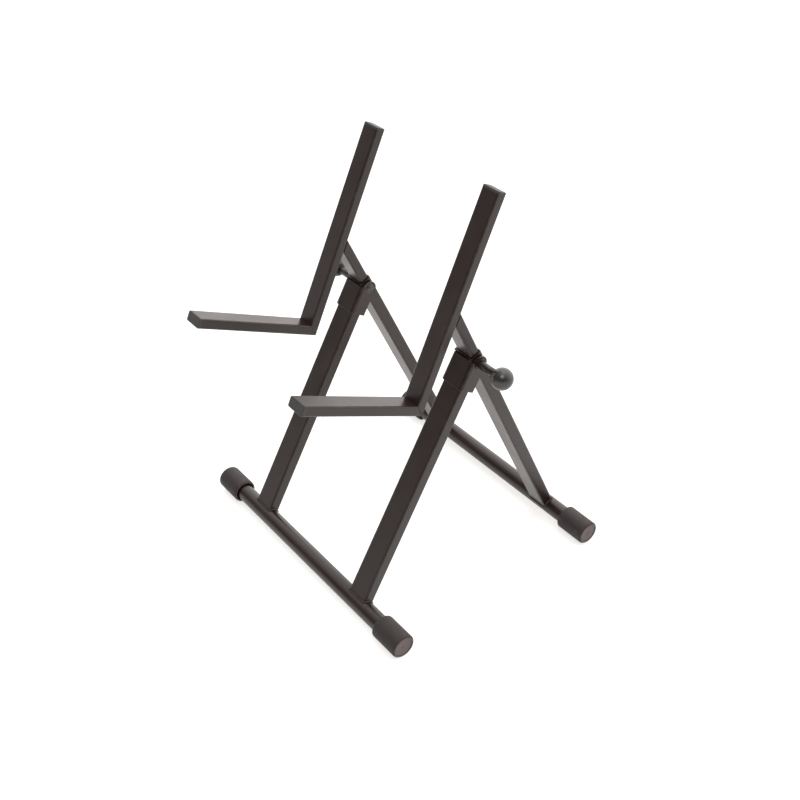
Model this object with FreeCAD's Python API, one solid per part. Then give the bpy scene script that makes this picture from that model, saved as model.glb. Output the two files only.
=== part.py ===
import FreeCAD, Part

import math
import os

from FreeCAD import Placement, Rotation, Vector

# Folding tilt-back stand for a small amplifier cabinet, in millimetres.
# +X is the stand's right side, -Y its front, where the seat arms point, and +Z is up.
# The origin lies on the floor, in the middle of the footprint.
# A member's own frame has +Z along the member, X across the stand and -Y on its front face.

# ---- driving dimensions ------------------------------------------------------------------

side_x = 112.5                  # plane of the legs, uprights and arms, each side of the middle

foot_bar_radius = 12.0
foot_bar_wall = 1.5
front_bar_length = 410.0
rear_bar_length = 396.0
front_bar_y = -135.67
rear_bar_y = 195.33

cap_radius = 16.75
cap_length = 46.0
cap_end_wall = 6.0
cap_end_edge = 3.3
cap_mouth_edge = 2.4
cap_mouth_radius = 14.2         # the mouth is wider than the bar
cap_mouth_depth = 9.0
cap_fit = 0.05
cap_recess_radius = 12.6
cap_recess_depth = 0.8

front_leg_width = 32.5
front_leg_depth = 16.4
front_leg_tilt = 29.33          # degrees from upright, leaning back as it rises
front_leg_shift = 1.2           # the front legs land this far behind their bar's axis
rear_leg_width = 31.0
rear_leg_depth = 17.0
rear_leg_tilt = -25.64          # leaning forward as it rises
rear_leg_shift = -1.6           # the rear legs land this far in front of their bar's axis
rear_leg_top = 13.0             # open top of the rear leg, above the pivot
leg_wall = 1.5
leg_corner = 2.5

support_width = 27.8            # section of the uprights, seat arms and struts
support_depth = 13.5
support_wall = 1.5
support_corner = 2.5
support_tilt = 24.43
upright_length = 281.0
arm_length = 183.6
corner_y = -42.51               # outer corner where an upright meets its seat arm
corner_z = 283.63
strut_above = 6.5               # lower end of the strut inside the rear leg, above the pivot

plug_head = 3.0
plug_edge = 1.0
plug_depth = 12.0
plug_wall = 1.6
plug_stem_corner = 0.9
plug_bore_corner = 0.5
plug_fit = 0.1

pivot_drop = 4.5                # pivot axis below the crossing of the legs' middle lines
bolt_radius = 4.0
bolt_head_radius = 6.0
bolt_head_height = 0.9
bolt_head_edge = 0.6
bolt_tip_chamfer = 0.8
running_gap = 0.08              # radial clearance round the pivot bolts
bush_radius = 5.0
shim_radius = 7.0
shim_thickness = 0.6
shim_gap = 0.1
washer_radius = 8.0
washer_thickness = 1.5

bracket_sheet = 2.5
bracket_bend = 4.5              # outer radius of its two bends
bracket_relief = 1.2            # slot over the end of each bend; the ears are flat above it
bracket_below = 38.5            # lower edge of the bracket below the pivot, along the front leg
web_below = 0.9                 # top of its front web below the pivot: it stops on the rear leg
bracket_lip = 12.0              # ears' back edge behind the leg's middle, at the lower end
ear_radius = 10.5
leg_top_front = 6.0             # top of the front leg below the pivot, at its front wall
leg_top_back = 34.5             # and at its back wall, cut away for the rear leg

knob_radius = 14.0
knob_centre = 58.2              # from the leg plane to the middle of the ball
neck_radius = 5.3
neck_collar_radius = 7.0
neck_collar = 2.5
neck_in_ball = 9.0
neck_fit = 0.05
neck_gap = 0.1
ball_flat_radius = 8.0          # flat on the ball that the neck's collar sits against
bolt_end = 53.2                 # tip of the bolt, from the leg plane
bolt_room = 1.0                 # free length past the bolt's tip, inside the ball

weld = 2.0                      # leg of the fillet welds
seam_height = 0.5               # low bead across the mitre, on a support's sides
seam_width = 3.6
weld_margin = 3.0               # beads stop this far short of a support's edges
bracket_weld_inset = 0.4        # the bead under a bracket is this much thinner than its sheet
bracket_weld_lip = 4.0          # and stops this far short of the front leg's back face

leg_stock = 460.0               # length a leg or strut is cut from
corner_stock = 20.0             # spare length of a support at its mitred end
cutter = 300.0                  # half the size of cutters that run right across the stand
side_reach = 40.0               # half the width of cutters that cross one side of it
past = 10.0                     # how far a slanted cutter runs past its piece
over = 1.0                      # how far a straight one does
close = 0.01                    # two edges nearer than this lie in one plane

# ---- frames of the members ---------------------------------------------------------------

foot_z = cap_radius


def frame(x, y, z, tilt):
    """A member's frame: local +Z leans from upright towards +Y by tilt degrees."""
    return Placement(Vector(x, y, z), Rotation(Vector(1, 0, 0), -tilt))


def front_leg_frame(x):
    return frame(x, front_bar_y + front_leg_shift, foot_z, front_leg_tilt)


def rear_leg_frame(x):
    return frame(x, rear_bar_y + rear_leg_shift, foot_z, rear_leg_tilt)


def support_offset(tilt, towards):
    """The middle line of a support, half its depth inside the outer corner."""
    angle = math.radians(tilt)
    y = corner_y - towards * math.cos(angle) * support_depth / 2
    z = corner_z + towards * math.sin(angle) * support_depth / 2
    return y, z


def upright_frame(x):
    y, z = support_offset(support_tilt, 1)
    return frame(x, y, z, support_tilt)


def arm_frame(x):
    y, z = support_offset(support_tilt - 90, -1)
    return frame(x, y, z, support_tilt - 90)


def pivot_point():
    """Just under the place where the middle lines of the front and rear legs cross."""
    front_slope = math.tan(math.radians(front_leg_tilt))
    rear_slope = math.tan(math.radians(rear_leg_tilt))
    front_foot = front_bar_y + front_leg_shift
    rise = (rear_bar_y + rear_leg_shift - front_foot) / (front_slope - rear_slope)
    return front_foot + front_slope * rise, foot_z + rise - pivot_drop


pivot_y, pivot_z = pivot_point()
pivot_in_leg = front_leg_frame(0).inverse().multVec(Vector(0, pivot_y, pivot_z))
pivot_in_rear_leg = rear_leg_frame(0).inverse().multVec(Vector(0, pivot_y, pivot_z))

# ---- shapes ------------------------------------------------------------------------------


def cylinder_x(radius, x0, x1, y=0.0, z=0.0):
    return Part.makeCylinder(radius, x1 - x0, Vector(x0, y, z), Vector(1, 0, 0))


def ring_x(outer, inner, x0, x1, y=0.0, z=0.0):
    return cylinder_x(outer, x0, x1, y, z).cut(cylinder_x(inner, x0 - over, x1 + over, y, z))


def long_edges(shape):
    """The straight edges that run along local Z."""
    return [e for e in shape.Edges if abs(e.tangentAt(e.FirstParameter).z) > 0.99]


def rims(shape):
    return [e for e in shape.Edges if isinstance(e.Curve, Part.Circle)]


def rounded_bar(width, depth, radius, z0, z1):
    """A rectangular bar along local Z with rounded long edges."""
    bar = Part.makeBox(width, depth, z1 - z0, Vector(-width / 2, -depth / 2, z0))
    return bar.makeFillet(radius, long_edges(bar))


def rectangular_tube(width, depth, wall, radius, z0, z1):
    outer = rounded_bar(width, depth, radius, z0, z1)
    bore = rounded_bar(width - 2 * wall, depth - 2 * wall, radius - wall, z0 - over, z1 + over)
    return outer.cut(bore)


def side_prism(points, half_width):
    """A flat outline of (y, z) points, drawn out across X to both sides."""
    corners = [Vector(-half_width, y, z) for y, z in points]
    face = Part.Face(Part.makePolygon(corners + corners[:1]))
    return face.extrude(Vector(2 * half_width, 0, 0))


def placed(shape, placement):
    return shape.transformed(placement.toMatrix())


def mirrored(shape):
    return shape.mirror(Vector(0, 0, 0), Vector(1, 0, 0))


def bar_cylinder(radius, y):
    return cylinder_x(radius, -cutter, cutter, y, foot_z)


# ---- pieces ------------------------------------------------------------------------------


def foot_bar(length, y):
    return ring_x(foot_bar_radius, foot_bar_radius - foot_bar_wall, -length / 2, length / 2, y, foot_z)


def foot_cap(bar_length, y):
    """The right-hand rubber cap; it closes the bar's end and reaches the floor."""
    end = bar_length / 2 + cap_end_wall
    mouth = end - cap_length
    body = cylinder_x(cap_radius, mouth, end, y, foot_z)
    body = body.makeFillet(cap_end_edge, [e for e in rims(body) if e.BoundBox.XMin > end - close])
    body = body.makeFillet(cap_mouth_edge, [e for e in rims(body) if e.BoundBox.XMax < mouth + close])
    body = body.cut(cylinder_x(foot_bar_radius + cap_fit, mouth - over, end - cap_end_wall, y, foot_z))
    body = body.cut(cylinder_x(cap_mouth_radius, mouth - over, mouth + cap_mouth_depth, y, foot_z))
    return body.cut(cylinder_x(cap_recess_radius, end - cap_recess_depth, end + over, y, foot_z))


def leg_blank(width, depth, grow):
    return rounded_bar(width + 2 * grow, depth + 2 * grow, leg_corner + grow, 0, leg_stock)


def front_leg_blank(grow):
    return leg_blank(front_leg_width, front_leg_depth, grow)


def rear_leg_blank(grow):
    return leg_blank(rear_leg_width, rear_leg_depth, grow)


def front_leg(x):
    top = pivot_in_leg.z - leg_top_front
    tube = rectangular_tube(front_leg_width, front_leg_depth, leg_wall, leg_corner, 0, top)
    half = front_leg_depth / 2
    slope = (leg_top_back - leg_top_front) / front_leg_depth
    low = pivot_in_leg.z - leg_top_back - slope * past
    outline = [(-half, top), (half + past, low), (half + past, top + past), (-half, top + past)]
    tube = tube.cut(side_prism(outline, front_leg_width))
    return placed(tube, front_leg_frame(x)).cut(bar_cylinder(foot_bar_radius, front_bar_y))


def upright_side(x):
    """All that lies in front of the upright's back face, where the strut's top is cut off."""
    corner = Vector(-side_reach, support_depth / 2 - cutter, -cutter)
    return placed(Part.makeBox(2 * side_reach, cutter, 2 * cutter, corner), upright_frame(x))


def pivot_hole(x, radius):
    return cylinder_x(radius, x - side_reach, x + side_reach, pivot_y, pivot_z)


def rear_leg(x):
    top = pivot_in_rear_leg.z + rear_leg_top
    tube = rectangular_tube(rear_leg_width, rear_leg_depth, leg_wall, leg_corner, 0, top)
    tube = placed(tube, rear_leg_frame(x)).cut(bar_cylinder(foot_bar_radius, rear_bar_y))
    return tube.cut(pivot_hole(x, bush_radius))


def strut(x):
    """A piece of the supports' tube, held in the rear leg's top and welded to the upright."""
    low = pivot_in_rear_leg.z + strut_above
    tube = rectangular_tube(support_width, support_depth, support_wall, support_corner, low, leg_stock)
    return placed(tube, rear_leg_frame(x)).cut(upright_side(x))


def support(length, partner):
    """An upright or a seat arm, mitred at 45 degrees towards its partner on local +Y or -Y."""
    start = -corner_stock
    tube = rectangular_tube(support_width, support_depth, support_wall, support_corner, start, length)
    edge = support_depth / 2 + past
    low = start - corner_stock
    outline = [(-edge, -past), (edge, support_depth + past), (edge, low), (-edge, low)]
    return tube.cut(side_prism([(partner * y, z) for y, z in outline], side_reach))


def upright(x):
    return placed(support(upright_length, -1), upright_frame(x))


def seat_arm(x):
    return placed(support(arm_length, 1), arm_frame(x))


def end_plug(placement, length):
    """A hollow plastic plug pushed into a support's end, with a head as wide as the tube."""
    top = length + plug_head
    head = rounded_bar(support_width, support_depth, support_corner, length, top)
    head = head.makeFillet(plug_edge, [e for e in head.Edges if e.BoundBox.ZMin > top - close])
    width = support_width - 2 * support_wall - 2 * plug_fit
    depth = support_depth - 2 * support_wall - 2 * plug_fit
    inner_end = length - plug_depth
    stem = rounded_bar(width, depth, plug_stem_corner, inner_end, length)
    width -= 2 * plug_wall
    depth -= 2 * plug_wall
    bore = rounded_bar(width, depth, plug_bore_corner, inner_end - over, length)
    return placed(head.fuse(stem).cut(bore), placement)


def pivot_bush(x):
    half = rear_leg_width / 2
    return ring_x(bush_radius, bolt_radius + running_gap, x - half, x + half, pivot_y, pivot_z)


def tangent_point(point, centre, radius, turn):
    """Where a line from point touches the circle; turn is +1 or -1 for the side."""
    dy = point[0] - centre[0]
    dz = point[1] - centre[1]
    base = math.atan2(dz, dy)
    angle = base + turn * math.acos(radius / math.hypot(dy, dz))
    return centre[0] + radius * math.cos(angle), centre[1] + radius * math.sin(angle)


def ear_outline():
    """Side view of the pivot bracket, in the front leg's frame."""
    front = -front_leg_depth / 2 - bracket_sheet
    centre = (pivot_in_leg.y, pivot_in_leg.z)
    bottom = pivot_in_leg.z - bracket_below
    web_top = pivot_in_leg.z - web_below
    low_front = (front, bottom)
    top_front = (front, web_top)
    low_back = (bracket_lip, bottom)
    touch_front = tangent_point(top_front, centre, ear_radius, -1)
    touch_back = tangent_point(low_back, centre, ear_radius, 1)
    crown = (centre[0], centre[1] + ear_radius)

    def at(point):
        return Vector(-side_reach, point[0], point[1])

    edges = [
        Part.LineSegment(at(low_front), at(top_front)).toShape(),
        Part.LineSegment(at(top_front), at(touch_front)).toShape(),
        Part.Arc(at(touch_front), at(crown), at(touch_back)).toShape(),
        Part.LineSegment(at(touch_back), at(low_back)).toShape(),
        Part.LineSegment(at(low_back), at(low_front)).toShape(),
    ]
    return Part.Face(Part.Wire(edges)).extrude(Vector(2 * side_reach, 0, 0))


def pivot_bracket(x):
    """A U of folded sheet round the top of the front leg, with flat ears above its web."""
    bottom = pivot_in_leg.z - bracket_below - over
    web_top = pivot_in_leg.z - web_below
    top = pivot_in_leg.z + ear_radius + over
    front = -front_leg_depth / 2
    half_width = front_leg_width / 2
    outside = bent_front(half_width + bracket_sheet, front - bracket_sheet, bracket_bend, bottom, web_top)
    inside = bent_front(half_width, front, bracket_bend - bracket_sheet, bottom, web_top)
    ear = Part.makeBox(bracket_sheet, 2 * side_reach, top - web_top, Vector(half_width, -side_reach, web_top))
    bend_line = front - bracket_sheet + bracket_bend
    slot_corner = Vector(-side_reach, bend_line - side_reach, web_top)
    slot = Part.makeBox(2 * side_reach, side_reach, bracket_relief, slot_corner)
    ears = ear.fuse(mirrored(ear)).cut(slot)
    bracket = outside.cut(inside).fuse(ears).common(ear_outline()).removeSplitter()
    return placed(bracket, front_leg_frame(x)).cut(pivot_hole(x, bolt_radius + running_gap))


def bent_front(half_width, front, bend, z0, z1):
    """A block behind the plane y = front, with that plane's two long edges rounded."""
    block = Part.makeBox(2 * half_width, 2 * side_reach, z1 - z0, Vector(-half_width, front, z0))
    return block.makeFillet(bend, [e for e in long_edges(block) if e.BoundBox.YMax < front + close])


def pivot_bolt():
    """Right-hand pivot bolt: low round head towards the middle, shank out into the knob."""
    ear = front_leg_width / 2 + bracket_sheet
    x0 = side_x - ear
    shank = cylinder_x(bolt_radius, x0, side_x + bolt_end, pivot_y, pivot_z)
    shank = shank.makeChamfer(bolt_tip_chamfer, [e for e in rims(shank) if e.BoundBox.XMin > side_x])
    head = cylinder_x(bolt_head_radius, x0 - bolt_head_height, x0, pivot_y, pivot_z)
    head = head.makeFillet(bolt_head_edge, [e for e in rims(head) if e.BoundBox.XMax < x0 - close])
    return head.fuse(shank).removeSplitter()


def pivot_shims():
    """Nylon shims on both sides of the right rear leg."""
    leg_side = rear_leg_width / 2 + shim_gap
    bore = bolt_radius + running_gap
    out = ring_x(shim_radius, bore, side_x + leg_side, side_x + leg_side + shim_thickness, pivot_y, pivot_z)
    inn = ring_x(shim_radius, bore, side_x - leg_side - shim_thickness, side_x - leg_side, pivot_y, pivot_z)
    return Part.makeCompound([inn, out])


def pivot_washer():
    x0 = side_x + front_leg_width / 2 + bracket_sheet
    return ring_x(washer_radius, bolt_radius + running_gap, x0, x0 + washer_thickness, pivot_y, pivot_z)


def knob_start():
    return side_x + front_leg_width / 2 + bracket_sheet + washer_thickness + neck_gap


def ball_face():
    """The flat on the ball, where the neck's collar sits."""
    return side_x + knob_centre - math.sqrt(knob_radius ** 2 - ball_flat_radius ** 2)


def knob_neck():
    x0 = knob_start()
    x1 = ball_face()
    neck = cylinder_x(neck_radius, x0, x1 + neck_in_ball, pivot_y, pivot_z)
    collar = cylinder_x(neck_collar_radius, x1 - neck_collar, x1, pivot_y, pivot_z)
    neck = neck.fuse(collar).removeSplitter()
    bore_end = x1 + neck_in_ball + over
    return neck.cut(cylinder_x(bolt_radius + running_gap, x0 - over, bore_end, pivot_y, pivot_z))


def ball_knob():
    centre = side_x + knob_centre
    ball = Part.makeSphere(knob_radius, Vector(centre, pivot_y, pivot_z), Vector(1, 0, 0))
    reach = 2 * knob_radius
    corner = Vector(ball_face() - reach, pivot_y - reach, pivot_z - reach)
    ball = ball.cut(Part.makeBox(reach, 2 * reach, 2 * reach, corner))
    socket_end = ball_face() + neck_in_ball
    socket = cylinder_x(neck_radius + neck_fit, ball_face() - over, socket_end, pivot_y, pivot_z)
    bore_end = side_x + bolt_end + bolt_room
    bore = cylinder_x(bolt_radius + running_gap, ball_face(), bore_end, pivot_y, pivot_z)
    return ball.cut(socket).cut(bore)


def foot_weld(blank, leg_place, bar_y):
    """Fillet of weld metal round a leg where it stands on its foot bar."""
    collar = placed(blank(weld), leg_place).cut(placed(blank(0), leg_place))
    collar = collar.common(bar_cylinder(foot_bar_radius + weld, bar_y))
    return collar.cut(bar_cylinder(foot_bar_radius, bar_y))


def upright_weld(x):
    """Beads above and below the strut where its end meets the upright's back."""
    width = support_width - 2 * weld_margin
    slab = Part.makeBox(width, weld, upright_length, Vector(-width / 2, support_depth / 2, 0))
    blank = rounded_bar(support_width, support_depth, support_corner, leg_stock / 2, leg_stock)
    around = rounded_bar(support_width, support_depth + 2 * weld, support_corner, leg_stock / 2, leg_stock)
    beads = placed(around, rear_leg_frame(x)).common(placed(slab, upright_frame(x)))
    return beads.cut(placed(blank, rear_leg_frame(x)))


def corner_seam(x):
    """Low beads across the mitre of an upright and its seat arm, on both side faces."""
    side = support_width / 2
    half = support_depth / 2 - support_corner
    radius = (seam_width ** 2 / 4 + seam_height ** 2) / (2 * seam_height)
    start = Vector(side + seam_height - radius, half, support_depth / 2 - half)
    bead = Part.makeCylinder(radius, 2 * math.sqrt(2) * half, start, Vector(0, -1, 1))
    corner = Vector(side - 2 * radius, -side_reach, -side_reach)
    bead = bead.cut(Part.makeBox(2 * radius, 2 * side_reach, 2 * side_reach, corner))
    return placed(Part.makeCompound([mirrored(bead), bead]), upright_frame(x))


def bracket_weld(x):
    """Bead under the lower edge of a pivot bracket, on the front and both sides of the leg."""
    edge = pivot_in_leg.z - bracket_below
    grow = bracket_sheet - bracket_weld_inset
    width = front_leg_width + 2 * grow
    collar = rounded_bar(width, front_leg_depth + 2 * grow, leg_corner + grow, edge - weld, edge)
    collar = collar.cut(front_leg_blank(0))
    behind_y = front_leg_depth / 2 - bracket_weld_lip
    corner = Vector(-side_reach, behind_y, edge - weld - over)
    behind = Part.makeBox(2 * side_reach, side_reach, weld + 2 * over, corner)
    return placed(collar.cut(behind), front_leg_frame(x))


# ---- output ------------------------------------------------------------------------------

os.makedirs("parts", exist_ok=True)


def save(node, shape):
    shape.exportStep("parts/" + node + ".step")
    box = shape.optimalBoundingBox(False)
    kinds = (len(shape.Solids), shape.isValid(), round(shape.Volume / 1000, 2))
    print(node, kinds, [round(v, 1) for v in (box.XMin, box.YMin, box.ZMin, box.XMax, box.YMax, box.ZMax)])


def save_pair(node, right):
    save(node + "_right", right)
    save(node + "_left", mirrored(right))


def both(right):
    return Part.makeCompound([mirrored(right), right])


save("front_foot_bar", foot_bar(front_bar_length, front_bar_y))
save("rear_foot_bar", foot_bar(rear_bar_length, rear_bar_y))
save_pair("front_foot_cap", foot_cap(front_bar_length, front_bar_y))
save_pair("rear_foot_cap", foot_cap(rear_bar_length, rear_bar_y))
save_pair("front_leg", front_leg(side_x))
save_pair("rear_leg", rear_leg(side_x))
save_pair("strut", strut(side_x))
save_pair("upright", upright(side_x))
save_pair("seat_arm", seat_arm(side_x))
save_pair("upright_plug", end_plug(upright_frame(side_x), upright_length))
save_pair("arm_plug", end_plug(arm_frame(side_x), arm_length))
save_pair("pivot_bush", pivot_bush(side_x))
save_pair("pivot_bracket", pivot_bracket(side_x))
save_pair("pivot_bolt", pivot_bolt())
save_pair("pivot_shims", pivot_shims())
save_pair("pivot_washer", pivot_washer())
save_pair("knob_neck", knob_neck())
save_pair("ball_knob", ball_knob())
save("front_foot_welds", both(foot_weld(front_leg_blank, front_leg_frame(side_x), front_bar_y)))
save("rear_foot_welds", both(foot_weld(rear_leg_blank, rear_leg_frame(side_x), rear_bar_y)))
save("upright_welds", both(upright_weld(side_x)))
save("corner_welds", both(corner_seam(side_x)))
save("bracket_welds", both(bracket_weld(side_x)))
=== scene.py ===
import math

import bmesh
import bpy
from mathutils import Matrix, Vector


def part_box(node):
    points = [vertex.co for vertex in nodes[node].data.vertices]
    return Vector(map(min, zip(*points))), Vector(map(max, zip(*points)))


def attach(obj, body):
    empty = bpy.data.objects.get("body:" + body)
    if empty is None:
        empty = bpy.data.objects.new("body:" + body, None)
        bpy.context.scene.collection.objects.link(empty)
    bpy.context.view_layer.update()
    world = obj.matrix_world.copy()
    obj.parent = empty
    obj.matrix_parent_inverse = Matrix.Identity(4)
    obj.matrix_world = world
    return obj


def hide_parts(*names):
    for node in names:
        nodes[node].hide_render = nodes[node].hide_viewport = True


# Folding amplifier stand: the painted steel frame, its rubber feet and its clamp knobs.
# Lengths are metres. -Y is the stand's front, where the seat arms point, and +Z is up.

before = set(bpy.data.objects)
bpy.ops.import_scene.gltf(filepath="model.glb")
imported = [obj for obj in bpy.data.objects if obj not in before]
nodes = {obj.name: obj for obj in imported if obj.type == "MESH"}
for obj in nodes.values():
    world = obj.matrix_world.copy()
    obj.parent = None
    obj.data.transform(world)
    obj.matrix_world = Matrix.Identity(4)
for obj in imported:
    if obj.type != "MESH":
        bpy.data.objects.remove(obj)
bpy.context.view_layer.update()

mm = 0.001
SIDES = ("left", "right")
LATHE_STEPS = 96                # flats round a turned piece
CORNER_STEPS = 6                # parts of a rounded corner
SHARP = math.radians(38)        # edges of turned pieces bent more than this stay sharp
TUBE_CORNER = 2.5 * mm          # rounding of the rectangular tubes' long edges
PATH_STEP = 1.5 * mm            # spacing of the points that a weld's path is drawn through
BOLT_RADIUS = 4.0 * mm
BOLT_GAP = 0.08 * mm            # clearance round the bolt in its neck
NECK_RADIUS = 5.3 * mm
NECK_FIT = 0.05 * mm            # clearance of the neck in the ball's socket
NECK_IN_BALL = 9.0 * mm

# ---- finishes ----------------------------------------------------------------------------


class Finish:
    """A material under construction: adds shader nodes and joins their sockets."""

    def __init__(self, name):
        self.material = bpy.data.materials.new(name)
        self.material.use_nodes = True
        self.tree = self.material.node_tree
        self.shader = self.tree.nodes["Principled BSDF"]
        self.place = self.add("TexCoord")

    def add(self, kind, settings=None, **inputs):
        node = self.tree.nodes.new("ShaderNode" + kind)
        for name, value in (settings or {}).items():
            setattr(node, name, value)
        for name, value in inputs.items():
            self.put(node, name.replace("_", " "), value)
        return node

    def put(self, node, name, value):
        """Sets an input to a value, or joins it to another node's output."""
        if isinstance(value, bpy.types.NodeSocket):
            self.tree.links.new(value, node.inputs[name])
        else:
            node.inputs[name].default_value = value

    def grain(self, scale, detail=3.0, roughness=0.55, stretch=None, distortion=0.0):
        """Noise on the object's own coordinates; scale counts its grains per metre."""
        where = self.place.outputs["Object"]
        if stretch:
            where = self.add("Mapping", Vector=where, Scale=stretch).outputs["Vector"]
        noise = self.add("TexNoise", Vector=where, Scale=scale, Detail=detail, Roughness=roughness)
        noise.inputs["Distortion"].default_value = distortion
        return noise.outputs["Fac"]

    def remap(self, value, low, high, to_low=0.0, to_high=1.0):
        node = self.add("MapRange", {"interpolation_type": "SMOOTHSTEP"}, Value=value)
        for name, number in zip(("From Min", "From Max", "To Min", "To Max"), (low, high, to_low, to_high)):
            node.inputs[name].default_value = number
        return node.outputs["Result"]

    def math(self, operation, a, b=0.0):
        node = self.add("Math", {"operation": operation})
        for socket, value in zip(node.inputs, (a, b)):
            if isinstance(value, bpy.types.NodeSocket):
                self.tree.links.new(value, socket)
            else:
                socket.default_value = value
        return node.outputs[0]

    def blend_colours(self, factor, first, second):
        node = self.add("Mix", {"data_type": "RGBA"})
        for socket, value in zip((node.inputs[0], node.inputs[6], node.inputs[7]), (factor, first, second)):
            if isinstance(value, bpy.types.NodeSocket):
                self.tree.links.new(value, socket)
            else:
                socket.default_value = value
        return node.outputs[2]

    def relief(self, height, depth, under=None):
        """A bump of the given depth in metres, on top of another one if there is one."""
        node = self.add("Bump", Height=height, Strength=1.0, Distance=depth)
        if under:
            self.put(node, "Normal", under)
        return node.outputs["Normal"]

    def finish(self, **inputs):
        for name, value in inputs.items():
            self.put(self.shader, name.replace("_", " "), value)
        return self.material


def grey(level, warmth=0.0):
    """A grey as RGBA; warmth is the share moved from blue to red."""
    return (level * (1 + warmth), level, level * (1 - warmth), 1.0)


def long_edge_mask(coat):
    """One on the rounded long edges of the tubes, nought on their flats and on round bars."""
    normal = coat.add("SeparateXYZ", Vector=coat.place.outputs["Normal"])
    square = coat.math("MULTIPLY", normal.outputs["X"], normal.outputs["X"])
    product = coat.math("MULTIPLY", square, coat.math("SUBTRACT", 1.0, square))
    return coat.math("MULTIPLY", product, 4.0)


def powder_coat():
    """Satin black powder coat: fine orange peel, dust specks and rubbed long edges."""
    coat = Finish("powder_coat")
    peel = coat.grain(900, detail=2.0)
    pebble = coat.grain(3200, detail=1.0)
    cloud = coat.grain(22, detail=4.0)
    specks = coat.remap(coat.grain(1500, detail=1.0), 0.70, 0.78)
    rubs = coat.remap(coat.grain(140, detail=6.0, roughness=0.7), 0.47, 0.66)
    worn = coat.math("MULTIPLY", long_edge_mask(coat), rubs)
    warm_black = (0.0110, 0.0032, 0.0024, 1.0)
    faded_black = (0.0140, 0.0054, 0.0044, 1.0)
    colour = coat.blend_colours(cloud, warm_black, faded_black)
    colour = coat.blend_colours(coat.math("MULTIPLY", specks, 0.25), colour, grey(0.05, 0.04))
    colour = coat.blend_colours(coat.math("MULTIPLY", worn, 0.6), colour, grey(0.045, 0.05))
    roughness = coat.remap(cloud, 0.25, 0.75, 0.29, 0.37)
    roughness = coat.math("SUBTRACT", roughness, coat.math("MULTIPLY", worn, 0.10))
    surface = coat.relief(peel, 0.05 * mm)
    surface = coat.relief(pebble, 0.012 * mm, surface)
    return coat.finish(Base_Color=colour, Roughness=roughness, Normal=surface, IOR=1.5)


def cap_rubber():
    """Moulded black rubber: fine matt skin, pale dusty bloom, scuffs, and painted light that makes the flat
    end faces paler.
    """
    rubber = Finish("cap_rubber")
    skin = rubber.grain(2600, detail=3.0)
    pits = rubber.remap(rubber.grain(1100, detail=2.0), 0.60, 0.72)
    bloom = rubber.grain(60, detail=6.0, roughness=0.65)
    scuffs = rubber.remap(rubber.grain(260, detail=5.0, stretch=(0.25, 1, 1)), 0.58, 0.74)
    normal = rubber.add("SeparateXYZ", Vector=rubber.place.outputs["Normal"])
    # Painted light: this mask picks the faces that look along X, the caps' flat ends and mouths.
    lit_end_faces = rubber.remap(rubber.math("ABSOLUTE", normal.outputs["X"]), 0.90, 0.99)
    clean = (0.0170, 0.0105, 0.0100, 1.0)
    dusty = (0.0250, 0.0180, 0.0175, 1.0)
    # Painted light: a much paler rubber colour that stands in for the lit end faces.
    painted_lit_end = (0.105, 0.082, 0.080, 1.0)
    colour = rubber.blend_colours(rubber.remap(bloom, 0.3, 0.7), clean, dusty)
    colour = rubber.blend_colours(lit_end_faces, colour, painted_lit_end)
    colour = rubber.blend_colours(rubber.math("MULTIPLY", scuffs, 0.35), colour, grey(0.085, 0.07))
    roughness = rubber.remap(bloom, 0.25, 0.75, 0.62, 0.78)
    surface = rubber.relief(skin, 0.04 * mm)
    surface = rubber.relief(pits, -0.05 * mm, surface)
    return rubber.finish(Base_Color=colour, Roughness=roughness, Normal=surface, IOR=1.52)


def plug_plastic():
    """Matt moulded polyethylene of the tube plugs, with a spark-eroded grain."""
    plastic = Finish("plug_plastic")
    grain = plastic.grain(2200, detail=3.0)
    cloud = plastic.grain(70, detail=4.0)
    colour = plastic.blend_colours(cloud, grey(0.020, 0.02), grey(0.030, 0.02))
    roughness = plastic.remap(cloud, 0.3, 0.7, 0.48, 0.58)
    return plastic.finish(
        Base_Color=colour, Roughness=roughness, Normal=plastic.relief(grain, 0.05 * mm), IOR=1.5
    )


def knob_plastic():
    """Black phenolic of the ball knobs: polished, with faint flow marks and fine scratches."""
    ball = Finish("knob_plastic")
    flow = ball.grain(90, detail=5.0, distortion=1.2)
    scratches = ball.grain(700, detail=4.0, stretch=(0.15, 1, 1))
    colour = ball.blend_colours(flow, grey(0.015, 0.04), grey(0.025, 0.06))
    roughness = ball.remap(scratches, 0.35, 0.7, 0.22, 0.34)
    return ball.finish(
        Base_Color=colour, Roughness=roughness, Normal=ball.relief(scratches, 0.006 * mm), IOR=1.58
    )


def black_zinc():
    """Black zinc plate on turned steel: rings from the tool, brighter where it is handled."""
    plate = Finish("black_zinc")
    rings = plate.grain(500, detail=3.0, stretch=(6, 0.2, 0.2))
    cloud = plate.grain(160, detail=5.0)
    colour = plate.blend_colours(plate.remap(cloud, 0.35, 0.7), grey(0.035, 0.05), grey(0.09, 0.05))
    roughness = plate.remap(rings, 0.3, 0.7, 0.30, 0.44)
    surface = plate.relief(rings, 0.02 * mm)
    return plate.finish(Base_Color=colour, Metallic=0.85, Roughness=roughness, Normal=surface)


def bush_brass():
    brass = Finish("bush_brass")
    rings = brass.grain(600, detail=3.0, stretch=(6, 0.2, 0.2))
    tarnish = brass.grain(180, detail=5.0)
    colour = brass.blend_colours(tarnish, (0.42, 0.27, 0.09, 1), (0.62, 0.44, 0.18, 1))
    roughness = brass.remap(tarnish, 0.3, 0.7, 0.25, 0.42)
    return brass.finish(
        Base_Color=colour, Metallic=1.0, Roughness=roughness, Normal=brass.relief(rings, 0.02 * mm)
    )


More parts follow.
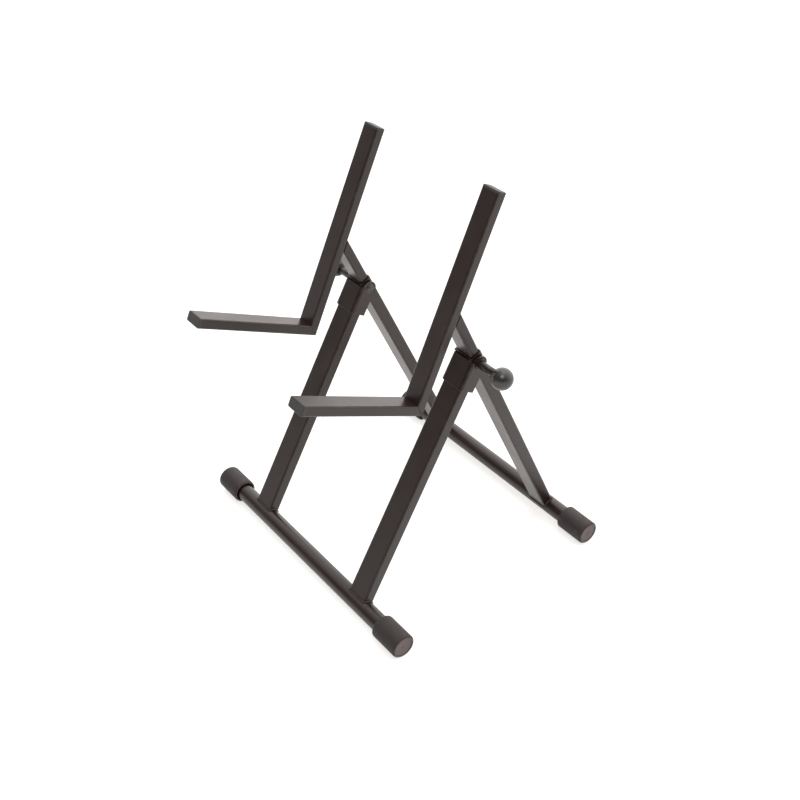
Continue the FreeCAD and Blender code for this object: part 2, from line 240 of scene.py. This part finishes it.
def shim_nylon():
    nylon = Finish("shim_nylon")
    grain = nylon.grain(1500, detail=3.0)
    cloud = nylon.grain(200, detail=3.0)
    colour = nylon.blend_colours(cloud, grey(0.50, 0.04), grey(0.62, 0.03))
    roughness = nylon.remap(cloud, 0.3, 0.7, 0.42, 0.55)
    return nylon.finish(
        Base_Color=colour, Roughness=roughness, Normal=nylon.relief(grain, 0.02 * mm), IOR=1.53
    )


FINISHES = {
    make.__name__: make()
    for make in (powder_coat, cap_rubber, plug_plastic, knob_plastic, black_zinc, bush_brass, shim_nylon)
}
NODE_FINISH = {
    "foot_bar": "powder_coat",
    "foot_cap": "cap_rubber",
    "leg": "powder_coat",
    "strut": "powder_coat",
    "upright": "powder_coat",
    "seat_arm": "powder_coat",
    "plug": "plug_plastic",
    "bush": "bush_brass",
    "bracket": "powder_coat",
    "bolt": "black_zinc",
    "shims": "shim_nylon",
    "washer": "black_zinc",
    "neck": "black_zinc",
    "knob": "knob_plastic",
    "welds": "powder_coat",
}


def finish_of(node_name):
    """The finish for a CAD node: the longest listed word that its name ends with decides."""
    base = node_name.removesuffix("_left").removesuffix("_right")
    for word in sorted(NODE_FINISH, key=len, reverse=True):
        if base.endswith(word):
            return FINISHES[NODE_FINISH[word]]
    raise ValueError("no finish for " + node_name)


def paint_cad_nodes():
    for name, piece in nodes.items():
        piece.data.materials.clear()
        piece.data.materials.append(finish_of(name))


paint_cad_nodes()

# ---- measuring the frame -----------------------------------------------------------------


def across(normal_a, reach_a, normal_b, reach_b):
    """Where two planes that hold the X direction cross, seen from the side."""
    spread = normal_a.y * normal_b.z - normal_a.z * normal_b.y
    y = (reach_a * normal_b.z - reach_b * normal_a.z) / spread
    z = (normal_a.y * reach_b - normal_b.y * reach_a) / spread
    return Vector((0, y, z))


class Member:
    """A straight rectangular tube of the stand, measured from its mesh.

    Its back is the broad face that looks towards +Y; on a seat arm that is the upper one.
    """

    def __init__(self, name):
        mesh = nodes[name].data
        flats = [face for face in mesh.polygons if abs(face.normal.x) < 0.05]
        widest = max(flats, key=lambda face: face.area)
        sign = 1 if widest.normal.y > 0 else -1
        self.back = (sign * Vector((0, widest.normal.y, widest.normal.z))).normalized()
        self.along = Vector((0, -self.back.z, self.back.y))
        xs = [v.co.x for v in mesh.vertices]
        depths = [v.co.dot(self.back) for v in mesh.vertices]
        self.x = (min(xs) + max(xs)) / 2
        self.half_width = (max(xs) - min(xs)) / 2
        self.middle = (min(depths) + max(depths)) / 2
        self.half_depth = (max(depths) - min(depths)) / 2

    def reach(self, side):
        """Where the back face (side 1) or front face (side -1) lies, measured towards the back."""
        return self.middle + side * self.half_depth

    def place(self, across_x, depth, length):
        point = (self.middle + depth) * self.back + length * self.along
        return point + Vector((self.x + across_x, 0, 0))


def rounded_outline(half_width, half_depth, corner, step):
    """Points round a rounded rectangle, starting and ending at the middle of its back."""
    quarter = []
    for turn in range(CORNER_STEPS + 1):
        angle = math.radians(90 * turn / CORNER_STEPS)
        x = half_width - corner + corner * math.sin(angle)
        quarter.append((x, half_depth - corner + corner * math.cos(angle)))
    right = [(0.0, half_depth)] + quarter + [(x, -y) for x, y in reversed(quarter)]
    loop = right + [(-x, y) for x, y in reversed(right)][:-1]
    points = []
    for start, end in zip(loop, loop[1:] + loop[:1]):
        length = math.dist(start, end)
        parts = max(1, round(length / step))
        for part in range(parts):
            share = part / parts
            points.append((start[0] + share * (end[0] - start[0]), start[1] + share * (end[1] - start[1])))
    return points


# ---- weld beads --------------------------------------------------------------------------

RIPPLE_THICKNESS = 0.62         # along the bead, as a share of the ripple's width
RIPPLE_SPACING = 0.62           # as a share of the bead's radius
SHORT_OF_EDGE = 3.4 * mm        # the upright's beads stop this far from the strut's sides
SHORT_OF_BACK = 4.6 * mm        # the bracket's bead stops this far from the leg's back


def weld_bead_nodes():
    """Geometry nodes that lay overlapping ripples of weld metal along a path."""
    group = bpy.data.node_groups.new("weld_bead", "GeometryNodeTree")
    face = group.interface
    face.new_socket("Path", in_out="INPUT", socket_type="NodeSocketGeometry")
    face.new_socket("Bead Radius", in_out="INPUT", socket_type="NodeSocketFloat")
    face.new_socket("Ripple Step", in_out="INPUT", socket_type="NodeSocketFloat")
    face.new_socket("Unevenness", in_out="INPUT", socket_type="NodeSocketFloat")
    face.new_socket("Seed", in_out="INPUT", socket_type="NodeSocketInt")
    face.new_socket("Coat", in_out="INPUT", socket_type="NodeSocketMaterial")
    face.new_socket("Bead", in_out="OUTPUT", socket_type="NodeSocketGeometry")

    def add(kind, **settings):
        node = group.nodes.new(kind)
        for name, value in settings.items():
            setattr(node, name, value)
        return node

    def join(source, output, target, name):
        group.links.new(source.outputs[output], target.inputs[name])

    given = add("NodeGroupInput")
    curve = add("GeometryNodeMeshToCurve")
    even = add("GeometryNodeResampleCurve", mode="LENGTH")
    ripple = add("GeometryNodeMeshIcoSphere")
    ripple.inputs["Subdivisions"].default_value = 3
    heading = add("GeometryNodeInputTangent")
    turn = add("FunctionNodeAlignRotationToVector", axis="Z")
    low = add("ShaderNodeMath", operation="SUBTRACT")
    low.inputs[0].default_value = 1.0
    high = add("ShaderNodeMath", operation="ADD")
    high.inputs[0].default_value = 1.0
    size = add("FunctionNodeRandomValue", data_type="FLOAT")
    flat = add("ShaderNodeMath", operation="MULTIPLY")
    flat.inputs[1].default_value = RIPPLE_THICKNESS
    scale = add("ShaderNodeCombineXYZ")
    place = add("GeometryNodeInstanceOnPoints")
    solid = add("GeometryNodeRealizeInstances")
    smooth = add("GeometryNodeSetShadeSmooth")
    coat = add("GeometryNodeSetMaterial")
    result = add("NodeGroupOutput")
    join(given, "Path", curve, "Mesh")
    join(curve, "Curve", even, "Curve")
    join(given, "Ripple Step", even, "Length")
    join(given, "Bead Radius", ripple, "Radius")
    join(heading, "Tangent", turn, "Vector")
    join(given, "Unevenness", low, 1)
    join(given, "Unevenness", high, 1)
    join(low, 0, size, "Min")
    join(high, 0, size, "Max")
    join(given, "Seed", size, "Seed")
    size_value = [socket for socket in size.outputs if socket.enabled][0]
    group.links.new(size_value, scale.inputs["X"])
    group.links.new(size_value, scale.inputs["Y"])
    group.links.new(size_value, flat.inputs[0])
    join(flat, 0, scale, "Z")
    join(even, "Curve", place, "Points")
    join(ripple, "Mesh", place, "Instance")
    join(turn, "Rotation", place, "Rotation")
    join(scale, "Vector", place, "Scale")
    join(place, "Instances", solid, "Geometry")
    join(solid, "Geometry", smooth, "Geometry")
    join(smooth, "Geometry", coat, "Geometry")
    join(given, "Coat", coat, "Material")
    join(coat, "Geometry", result, "Bead")
    return group


WELD_BEAD = weld_bead_nodes()


def weld_piece(node_name, body, paths, radius, seed):
    """Lays beads along paths, each (points, closed), and shows them instead of the CAD beads."""
    vertices = []
    edges = []
    for points, closed in paths:
        first = len(vertices)
        vertices += points
        edges += [(first + i, first + i + 1) for i in range(len(points) - 1)]
        if closed:
            edges.append((len(vertices) - 1, first))
    mesh = bpy.data.meshes.new(node_name + "_path")
    mesh.from_pydata(vertices, edges, [])
    path = bpy.data.objects.new(node_name + "_path", mesh)
    bpy.context.scene.collection.objects.link(path)
    beads = path.modifiers.new("weld_bead", "NODES")
    beads.node_group = WELD_BEAD
    sockets = {item.name: item.identifier for item in WELD_BEAD.interface.items_tree}
    beads[sockets["Bead Radius"]] = radius
    beads[sockets["Ripple Step"]] = RIPPLE_SPACING * radius
    beads[sockets["Unevenness"]] = 0.09
    beads[sockets["Seed"]] = seed
    beads[sockets["Coat"]] = FINISHES["powder_coat"]
    shaped = path.evaluated_get(bpy.context.evaluated_depsgraph_get())
    baked = bpy.data.meshes.new_from_object(shaped)
    bpy.data.objects.remove(path)
    piece = bpy.data.objects.new(node_name + "_beads", baked)
    bpy.context.scene.collection.objects.link(piece)
    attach(piece, body)
    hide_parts(node_name)


def foot_weld_path(leg, bar_name):
    """The line round a leg's outside where it stands on its foot bar."""
    low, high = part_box(bar_name)
    radius = (high[2] - low[2]) / 2
    axis = Vector((0, (low[1] + high[1]) / 2, (low[2] + high[2]) / 2))
    level = axis.dot(leg.along)
    points = []
    for x, depth in rounded_outline(leg.half_width, leg.half_depth, TUBE_CORNER, PATH_STEP):
        aside = leg.middle + depth - axis.dot(leg.back)
        rise = math.sqrt(radius ** 2 - aside ** 2)
        points.append(leg.place(x, depth, level + rise))
    return points, True


def row(start, end):
    """A straight open path for a bead."""
    return [start, end], False


def upright_weld_paths(side):
    """Beads above and below the strut, across the upright's back."""
    strut = Member("strut_" + side)
    upright = Member("upright_" + side)
    reach = strut.half_width - SHORT_OF_EDGE
    paths = []
    for face in (-1, 1):
        line = across(strut.back, strut.reach(face), upright.back, upright.reach(1))
        ends = [line + Vector((strut.x + sign * reach, 0, 0)) for sign in (-1, 1)]
        paths.append(row(*ends))
    return paths


def corner_weld_paths(side, sunk):
    """Low beads across the mitre, on both side faces of an upright and its seat arm.

    sunk is how far their middle lines lie under the faces.
    """
    upright = Member("upright_" + side)
    arm = Member("seat_arm_" + side)
    outer = across(upright.back, upright.reach(1), arm.back, arm.reach(-1))
    inner = across(upright.back, upright.reach(-1), arm.back, arm.reach(1))
    inset = 0.2 * (inner - outer)       # left bare at each end of the mitre
    paths = []
    for sign in (-1, 1):
        face = Vector((upright.x + sign * (upright.half_width - sunk), 0, 0))
        paths.append(row(outer + inset + face, inner - inset + face))
    return paths


def bracket_weld_path(side):
    """The bead under a pivot bracket: along one side of the leg, its front and the other side."""
    leg = Member("front_leg_" + side)
    level = min(v.co.dot(leg.along) for v in nodes["pivot_bracket_" + side].data.vertices)
    outline = rounded_outline(leg.half_width, leg.half_depth, TUBE_CORNER, PATH_STEP)
    back_limit = leg.half_depth - SHORT_OF_BACK
    front = [(x, depth) for x, depth in outline if depth < back_limit]
    return [leg.place(x, depth, level - 0.1 * mm) for x, depth in front], False


def lay_welds():
    front = [foot_weld_path(Member("front_leg_" + side), "front_foot_bar") for side in SIDES]
    rear = [foot_weld_path(Member("rear_leg_" + side), "rear_foot_bar") for side in SIDES]
    uprights = [path for side in SIDES for path in upright_weld_paths(side)]
    corners = [path for side in SIDES for path in corner_weld_paths(side, sunk=1.2 * mm)]
    brackets = [bracket_weld_path(side) for side in SIDES]
    weld_piece("front_foot_welds", "front_frame", front, radius=1.8 * mm, seed=3)
    weld_piece("rear_foot_welds", "rear_frame", rear, radius=1.8 * mm, seed=5)
    weld_piece("upright_welds", "rear_frame", uprights, radius=1.6 * mm, seed=7)
    weld_piece("corner_welds", "rear_frame", corners, radius=1.6 * mm, seed=9)
    weld_piece("bracket_welds", "front_frame", brackets, radius=1.2 * mm, seed=11)


lay_welds()

# ---- turned and moulded pieces -----------------------------------------------------------


def fillet(centre, start_angle, radius):
    """A quarter of a circle in a lathe profile, round a centre, falling from start_angle."""
    points = []
    for step in range(CORNER_STEPS + 1):
        angle = math.radians(start_angle - 90 * step / CORNER_STEPS)
        points.append((centre[0] + radius * math.cos(angle), centre[1] + radius * math.sin(angle)))
    return points


def lathe(name, profile, start, heading, finish):
    """Turns a closed profile of (distance, radius) about the X direction.

    start is the point the distances count from, and heading is +1 or -1 for which way they
    run along X.
    """
    turned = bmesh.new()
    rings = []
    for distance, radius in profile:
        x = start.x + heading * distance
        if radius == 0:
            rings.append([turned.verts.new((x, start.y, start.z))])
            continue
        ring = []
        for step in range(LATHE_STEPS):
            angle = 2 * math.pi * step / LATHE_STEPS
            place = (x, start.y + radius * math.sin(angle), start.z + radius * math.cos(angle))
            ring.append(turned.verts.new(place))
        rings.append(ring)
    for ring, following in zip(rings, rings[1:] + rings[:1]):
        for step in range(LATHE_STEPS):
            after = (step + 1) % LATHE_STEPS
            if len(ring) == 1 and len(following) == 1:
                break
            if len(ring) == 1:
                turned.faces.new((ring[0], following[after], following[step]))
            elif len(following) == 1:
                turned.faces.new((ring[step], ring[after], following[0]))
            else:
                turned.faces.new((ring[step], ring[after], following[after], following[step]))
    bmesh.ops.recalc_face_normals(turned, faces=turned.faces)
    mesh = bpy.data.meshes.new(name)
    turned.to_mesh(mesh)
    turned.free()
    mesh.shade_smooth()
    mesh.set_sharp_from_angle(angle=SHARP)
    mesh.materials.append(FINISHES[finish])
    piece = bpy.data.objects.new(name, mesh)
    bpy.context.scene.collection.objects.link(piece)
    return piece


def turning(node_name):
    """How a CAD node lies for turning: the middle of its inner end, the way it runs along X
    (+1 or -1), its length and its greatest radius."""
    low, high = (Vector(corner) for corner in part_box(node_name))
    heading = 1 if low.x > 0 else -1
    inner = low.x if heading > 0 else high.x
    start = Vector((inner, (low.y + high.y) / 2, (low.z + high.z) / 2))
    return start, heading, high.x - low.x, (high.z - low.z) / 2


def moulded_cap(node_name, bar_name, body):
    """A rubber foot cap: open mouth round the bar, rolled edges and a recess with a moulding nub."""
    start, heading, length, outer = turning(node_name)
    bar_low, bar_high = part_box(bar_name)
    bar = (bar_high[2] - bar_low[2]) / 2 + 0.05 * mm
    mouth_radius = bar + 2.15 * mm
    mouth_depth = 9 * mm
    lip = 2.4 * mm
    edge = 3.3 * mm
    recess = outer - 4.15 * mm
    floor = length - 0.8 * mm
    end_wall = 6 * mm
    profile = [(mouth_depth, bar), (mouth_depth, mouth_radius), (0.35 * mm, mouth_radius)]
    profile += [(0.08 * mm, mouth_radius + 0.08 * mm)]
    profile += fillet((lip, outer - lip), 180, lip)[1:]
    for share in (0.2, 0.4, 0.6, 0.8):
        profile.append((lip + share * (length - lip - edge), outer))
    profile += fillet((length - edge, outer - edge), 90, edge)
    profile += [(length, recess + 0.5 * mm), (length - 0.12 * mm, recess + 0.12 * mm)]
    profile += [(length - 0.7 * mm, recess), (floor, recess - 0.25 * mm), (floor, 5 * mm)]
    profile += [(floor, 1.6 * mm), (length - 0.45 * mm, 1.3 * mm), (length - 0.4 * mm, 0)]
    profile += [(length - end_wall, 0), (length - end_wall, bar)]
    cap = lathe(node_name + "_moulded", profile, start, heading, "cap_rubber")
    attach(cap, body)
    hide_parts(node_name)


def ball(side):
    """A phenolic ball with a flat for the neck's collar and a fine mould line round its middle."""
    node_name = "ball_knob_" + side
    start, heading, length, radius = turning(node_name)
    mould_line = 0.07 * mm
    centre = length - radius
    face = math.sqrt(radius ** 2 - centre ** 2)
    socket = NECK_RADIUS + NECK_FIT
    first = math.acos(-centre / radius)
    last = 32
    profile = [(NECK_IN_BALL, 0), (NECK_IN_BALL, socket), (0, socket), (0, face - 0.4 * mm)]
    for step in range(last + 1):
        angle = first * (1 - step / last)
        ridge = mould_line if abs(angle - math.pi / 2) < math.radians(1.6) else 0
        profile.append((centre + radius * math.cos(angle), (radius + ridge) * math.sin(angle)))
    profile[-1] = (centre + radius, 0)
    knob = lathe(node_name + "_moulded", profile, start, heading, "knob_plastic")
    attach(knob, "knob_" + side)
    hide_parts(node_name)


def turned_neck(side):
    """The knob's plated neck: chamfered tube, a fine groove, and a collar against the ball."""
    node_name = "knob_neck_" + side
    start, heading, length, collar = turning(node_name)
    tube = NECK_RADIUS
    bore = BOLT_RADIUS + BOLT_GAP
    seat = length - NECK_IN_BALL
    groove = tube - 0.35 * mm
    profile = [(0, bore), (0, tube - 0.5 * mm), (0.5 * mm, tube), (seat - 7.0 * mm, tube)]
    profile += [(seat - 6.6 * mm, groove), (seat - 5.9 * mm, groove), (seat - 5.5 * mm, tube)]
    profile += [(seat - 2.6 * mm, tube), (seat - 2.5 * mm, collar - 0.5 * mm), (seat - 2.0 * mm, collar)]
    profile += [(seat - 0.4 * mm, collar), (seat, collar - 0.4 * mm)]
    profile += [(seat, tube), (length, tube), (length, bore)]
    neck = lathe(node_name + "_turned", profile, start, heading, "black_zinc")
    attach(neck, "knob_" + side)
    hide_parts(node_name)


def crowned_bolt(side):
    """The pivot bolt: a thin crowned head on the inner ear and a plain shank out to the knob."""
    node_name = "pivot_bolt_" + side
    start, heading, length, head = turning(node_name)
    shank = BOLT_RADIUS
    chamfer = 0.8 * mm
    thick = 0.9 * mm
    profile = [(0, 0), (0.03 * mm, 0.55 * head), (0.12 * mm, 0.78 * head), (0.32 * mm, 0.93 * head)]
    profile += [(0.6 * mm, head), (thick - 0.05 * mm, head), (thick, head - 0.05 * mm)]
    profile += [(thick, shank), (length - chamfer, shank), (length, shank - chamfer), (length, 0)]
    bolt = lathe(node_name + "_turned", profile, start, heading, "black_zinc")
    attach(bolt, "front_frame")
    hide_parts(node_name)


for side in SIDES:
    moulded_cap("front_foot_cap_" + side, "front_foot_bar", "front_frame")
    moulded_cap("rear_foot_cap_" + side, "rear_foot_bar", "rear_frame")
    ball(side)
    turned_neck(side)
    crowned_bolt(side)

# ---- studio ------------------------------------------------------------------------------


def pale_floor():
    """A wide pale sheet that glows a little, so that shadows on it stay faint."""
    half = 30.0
    mesh = bpy.data.meshes.new("floor")
    corners = [(-half, -half, 0), (half, -half, 0), (half, half, 0), (-half, half, 0)]
    mesh.from_pydata(corners, [], [(0, 1, 2, 3)])
    floor = bpy.data.objects.new("floor", mesh)
    bpy.context.scene.collection.objects.link(floor)
    paper = Finish("floor_paper")
    tone = paper.grain(2.5, detail=2.0)
    colour = paper.blend_colours(tone, (0.46, 0.455, 0.45, 1), (0.48, 0.475, 0.47, 1))
    glow = (1.0, 0.985, 0.965, 1)
    sheet = paper.finish(
        Base_Color=colour, Roughness=0.9, Specular_IOR_Level=0.1, Emission_Color=glow, Emission_Strength=0.70
    )
    mesh.materials.append(sheet)


def studio_light(name, azimuth, elevation, distance, size, watts):
    """A square soft light that shines at the middle of the stand."""
    light = bpy.data.lights.new(name, "AREA")
    light.shape = "SQUARE"
    light.size = size
    light.energy = watts
    lamp = bpy.data.objects.new(name, light)
    bpy.context.scene.collection.objects.link(lamp)
    middle = Vector((0, 0, 0.25))
    back = direction(azimuth, elevation)
    lamp.location = middle + distance * back
    lamp.rotation_euler = back.to_track_quat("Z", "Y").to_euler()
    lamp.visible_camera = False


def direction(azimuth, elevation):
    """Unit vector from the stand towards a place in the studio; azimuth 0 is in front."""
    a = math.radians(azimuth)
    e = math.radians(elevation)
    return Vector((math.sin(a) * math.cos(e), -math.cos(a) * math.cos(e), math.sin(e)))


def studio_walls():
    """Bright paper walls behind and to the left of the stand, a darker room in front of it."""
    world = bpy.data.worlds.new("studio")
    bpy.context.scene.world = world
    world.use_nodes = True
    tree = world.node_tree
    place = tree.nodes.new("ShaderNodeTexCoord")
    aim = tree.nodes.new("ShaderNodeVectorMath")
    aim.operation = "DOT_PRODUCT"
    aim.inputs[1].default_value = direction(azimuth=205, elevation=25)
    tree.links.new(place.outputs["Generated"], aim.inputs[0])
    ramp = tree.nodes.new("ShaderNodeMapRange")
    ramp.interpolation_type = "SMOOTHSTEP"
    for name, value in {"From Min": -0.35, "From Max": 0.95, "To Min": 0.22, "To Max": 2.3}.items():
        ramp.inputs[name].default_value = value
    tree.links.new(aim.outputs["Value"], ramp.inputs["Value"])
    background = tree.nodes["Background"]
    background.inputs["Color"].default_value = (1.0, 0.965, 0.94, 1)
    tree.links.new(ramp.outputs["Result"], background.inputs["Strength"])


def camera():
    """A camera in front, to the right of the stand and above it."""
    data = bpy.data.cameras.new("camera")
    data.lens = 52.13
    data.sensor_width = 36.0
    eye = bpy.data.objects.new("camera", data)
    bpy.context.scene.collection.objects.link(eye)
    back = direction(azimuth=52.2437, elevation=36.1211)
    distance = 1.5576
    target = Vector((-7.49, 27.05, 200.41)) * mm
    eye.location = target + distance * back
    eye.rotation_euler = back.to_track_quat("Z", "Y").to_euler()
    bpy.context.scene.camera = eye


pale_floor()
studio_walls()
studio_light("key_light", azimuth=52, elevation=57, distance=2.2, size=1.0, watts=14)
studio_light("top_light", azimuth=200, elevation=75, distance=2.6, size=2.0, watts=10)
camera()
bpy.context.scene.view_settings.view_transform = "Standard"
